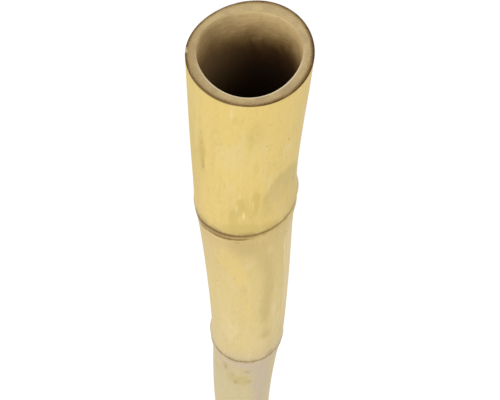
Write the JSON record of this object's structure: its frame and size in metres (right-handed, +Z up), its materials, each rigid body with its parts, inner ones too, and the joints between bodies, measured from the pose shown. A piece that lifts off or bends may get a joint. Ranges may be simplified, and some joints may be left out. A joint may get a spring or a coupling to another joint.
{
  "type": "bamboo cane",
  "caption": "Length of thick straw-yellow bamboo, sawn across at both ends, with swollen nodes and open hollow ends, lying on its side.",
  "frame": {"origin": "on the surface that the cane lies on, under the middle of its box", "axes": "+X along the cane from its thick end to its thin end, +Z up from the surface"},
  "size_m": [1, 0.083, 0.0813],
  "materials": {
    "bamboo": "satin"
  },
  "bodies": {
    "root": {"bamboo_cane": "bamboo"}
  },
  "joints": []
}
